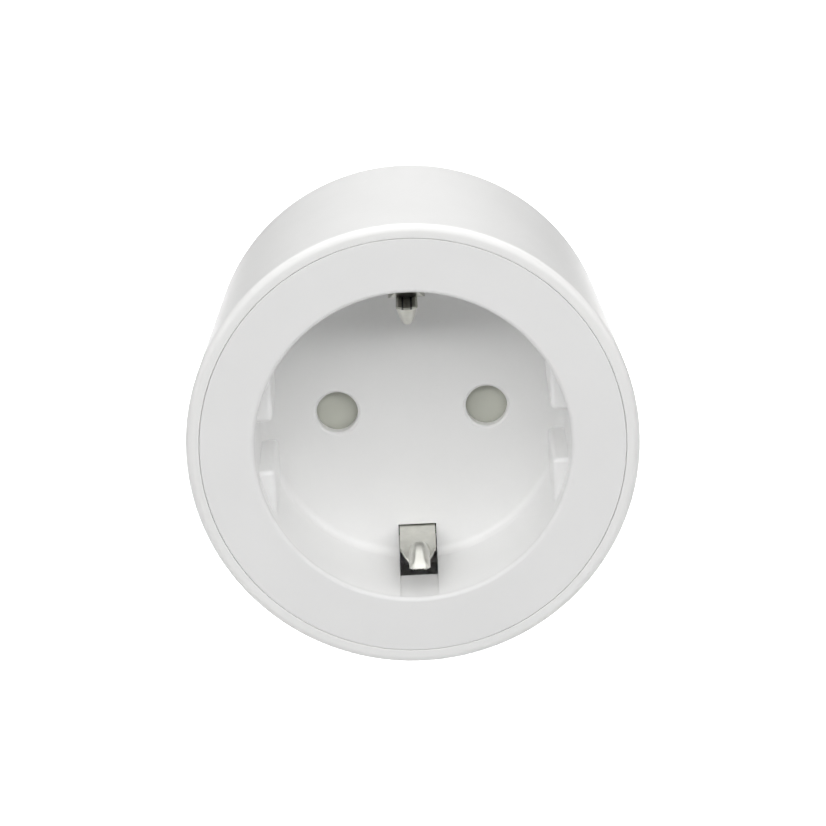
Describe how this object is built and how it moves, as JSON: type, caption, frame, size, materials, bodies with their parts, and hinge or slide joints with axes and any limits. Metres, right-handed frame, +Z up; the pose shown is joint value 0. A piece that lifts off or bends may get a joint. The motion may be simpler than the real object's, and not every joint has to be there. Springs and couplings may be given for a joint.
{
  "type": "plug in power meter",
  "caption": "Round white plug-in power meter: Schuko socket with shutters and earth clips in front, Schuko plug behind, button underneath.",
  "frame": {"origin": "centre of the plug's rear face, which meets the floor of the wall socket", "axes": "+Y into the wall along the pins, +Z up along the line of the earth clips, socket front towards -Y"},
  "size_m": [0.0562, 0.082, 0.0562],
  "materials": {
    "white_plastic": "satin",
    "rear_plastic": "satin",
    "shutter_plastic": "satin",
    "inner_plastic": "matt",
    "nickel": "satin",
    "brass": "satin",
    "steel": "satin",
    "board": "satin",
    "relay_plastic": "satin",
    "copper": "satin",
    "capacitor_sleeve": "gloss",
    "varistor_coat": "gloss",
    "resistor_coat": "matt",
    "clear_plastic": "gloss"
  },
  "bodies": {
    "meter_body": {"front_cover": "white_plastic", "main_housing": "white_plastic", "plug_body": "rear_plastic", "contact_carrier": "inner_plastic", "relay_base": "inner_plastic", "metering_chip": "inner_plastic", "tact_switch_base": "inner_plastic", "pin_left": "nickel", "pin_right": "nickel", "earth_sleeve": "nickel", "rear_earth_strip_top": "nickel", "rear_earth_strip_bottom": "nickel", "earth_bridge": "nickel", "socket_contact_left": "brass", "socket_contact_right": "brass", "shutter_spring": "steel", "board_screw_upper": "steel", "board_screw_lower": "steel", "carrier_screw_left": "steel", "carrier_screw_right": "steel", "relay_yoke": "steel", "radio_shield": "steel", "main_board": "board", "metering_board": "board", "radio_board": "board", "relay_case": "relay_plastic", "relay_coil": "copper", "metering_shunt": "copper", "supply_inductor": "copper", "filter_capacitor": "capacitor_sleeve", "varistor": "varistor_coat", "fuse_resistor": "resistor_coat", "status_led": "clear_plastic", "light_guide": "clear_plastic"},
    "clip_top": {"earth_clip_top": "nickel"},
    "clip_bottom": {"earth_clip_bottom": "nickel"},
    "shutter": {"shutter": "shutter_plastic"},
    "armature": {"relay_armature": "steel"},
    "button": {"power_button": "white_plastic"},
    "plunger": {"tact_switch_plunger": "inner_plastic"}
  },
  "joints": [
    {"name": "earth_clip_top_flex", "type": "hinge", "parent": "meter_body", "child": "clip_top", "pos_m": [0, -0.0418, 0.01585], "axis": [-1, 0, 0], "range_deg": [0, 6.5], "stiffness_Nm_per_rad": 1},
    {"name": "earth_clip_bottom_flex", "type": "hinge", "parent": "meter_body", "child": "clip_bottom", "pos_m": [0, -0.0418, -0.01585], "axis": [1, 0, 0], "range_deg": [0, 6.5], "stiffness_Nm_per_rad": 1},
    {"name": "shutter_turn", "type": "hinge", "parent": "meter_body", "child": "shutter", "pos_m": [0, -0.0426, 0], "axis": [0, -1, 0], "range_deg": [0, 40], "stiffness_Nm_per_rad": 0.004, "springref_deg": -5.73},
    {"name": "relay_armature_rock", "type": "hinge", "parent": "meter_body", "child": "armature", "pos_m": [0, -0.0083, -0.0022], "axis": [-1, 0, 0], "range_deg": [0, 3], "stiffness_Nm_per_rad": 0.02, "springref_deg": -2.86},
    {"name": "button_press", "type": "slide", "parent": "meter_body", "child": "button", "axis": [0, 0, 1], "range_m": [0, 0.0005], "stiffness_N_per_m": 1500, "springref_m": -0.0003},
    {"name": "tact_plunger_press", "type": "slide", "parent": "meter_body", "child": "plunger", "axis": [0, 0, 1], "range_m": [0, 0.0005]}
  ],
  "couplings": [
    {"joint": "tact_plunger_press", "follows": "button_press", "ratio": 1}
  ]
}
